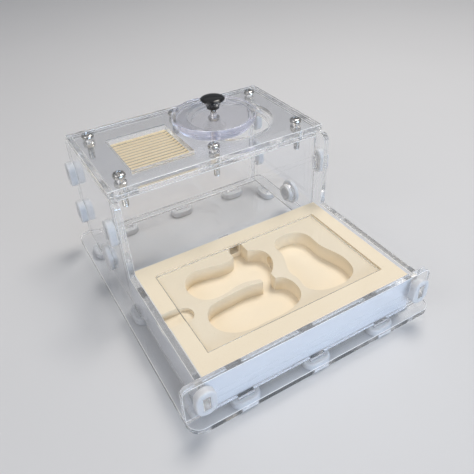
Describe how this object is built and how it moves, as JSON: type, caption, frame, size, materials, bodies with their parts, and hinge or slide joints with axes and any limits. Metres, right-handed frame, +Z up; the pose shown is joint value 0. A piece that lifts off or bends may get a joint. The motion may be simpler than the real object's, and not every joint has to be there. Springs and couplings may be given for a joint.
{
  "type": "ant farm",
  "caption": "Clear ant farm: a feeding tower behind a low tray with a carved plaster nest under a clear pane, sheets joined by tenons and soft oval clips.",
  "frame": {"origin": "under the middle of the base plate, on the surface the farm stands on", "axes": "+X right, +Y from the tray to the tower, +Z up"},
  "size_m": [0.168, 0.2, 0.1126],
  "materials": {
    "acrylic": "polished",
    "silicone": "satin",
    "steel": "polished",
    "knob": "gloss",
    "plaster": "matte",
    "mesh": "satin"
  },
  "bodies": {
    "housing": {"back_wall": "acrylic", "base_plate": "acrylic", "clip_left_tower_back_lower": "silicone", "clip_left_tower_back_upper": "silicone", "clip_left_tower_front": "silicone", "clip_left_tray_front": "silicone", "clip_right_tower_back_lower": "silicone", "clip_right_tower_back_upper": "silicone", "clip_right_tower_front": "silicone", "clip_right_tray_front": "silicone", "clip_under_back_left": "silicone", "clip_under_back_middle": "silicone", "clip_under_back_right": "silicone", "clip_under_front_left": "silicone", "clip_under_front_middle": "silicone", "clip_under_front_right": "silicone", "clip_under_left_side_back": "silicone", "clip_under_left_side_front": "silicone", "clip_under_left_side_middle": "silicone", "clip_under_right_side_back": "silicone", "clip_under_right_side_front": "silicone", "clip_under_right_side_middle": "silicone", "cover_liner": "acrylic", "cover_nut_back_left": "steel", "cover_nut_back_middle": "steel", "cover_nut_back_right": "steel", "cover_nut_front_left": "steel", "cover_nut_front_middle": "steel", "cover_nut_front_right": "steel", "cover_plate": "acrylic", "cover_screw_back_left": "steel", "cover_screw_back_middle": "steel", "cover_screw_back_right": "steel", "cover_screw_front_left": "steel", "cover_screw_front_middle": "steel", "cover_screw_front_right": "steel", "left_side_wall": "acrylic", "plaster_nest": "plaster", "right_side_wall": "acrylic", "tower_front_wall": "acrylic", "tray_front_wall": "acrylic", "vent_mesh": "mesh"},
    "lid": {"lid_flange_disc": "acrylic", "lid_plug_disc": "acrylic", "lid_knob": "knob", "knob_screw": "steel"},
    "pane": {"nest_pane": "acrylic"},
    "left_plug": {"left_port_plug": "silicone"},
    "right_plug": {"right_port_plug": "silicone"}
  },
  "joints": [
    {"name": "lid_lift", "type": "slide", "parent": "housing", "child": "lid", "axis": [0, 0, 1], "range_m": [0, 0.045]},
    {"name": "pane_lift", "type": "slide", "parent": "housing", "child": "pane", "axis": [0, 0, 1], "range_m": [0, 0.04]},
    {"name": "left_plug_pull", "type": "slide", "parent": "housing", "child": "left_plug", "axis": [-1, 0, 0], "range_m": [0, 0.025]},
    {"name": "right_plug_pull", "type": "slide", "parent": "housing", "child": "right_plug", "axis": [1, 0, 0], "range_m": [0, 0.025]}
  ]
}
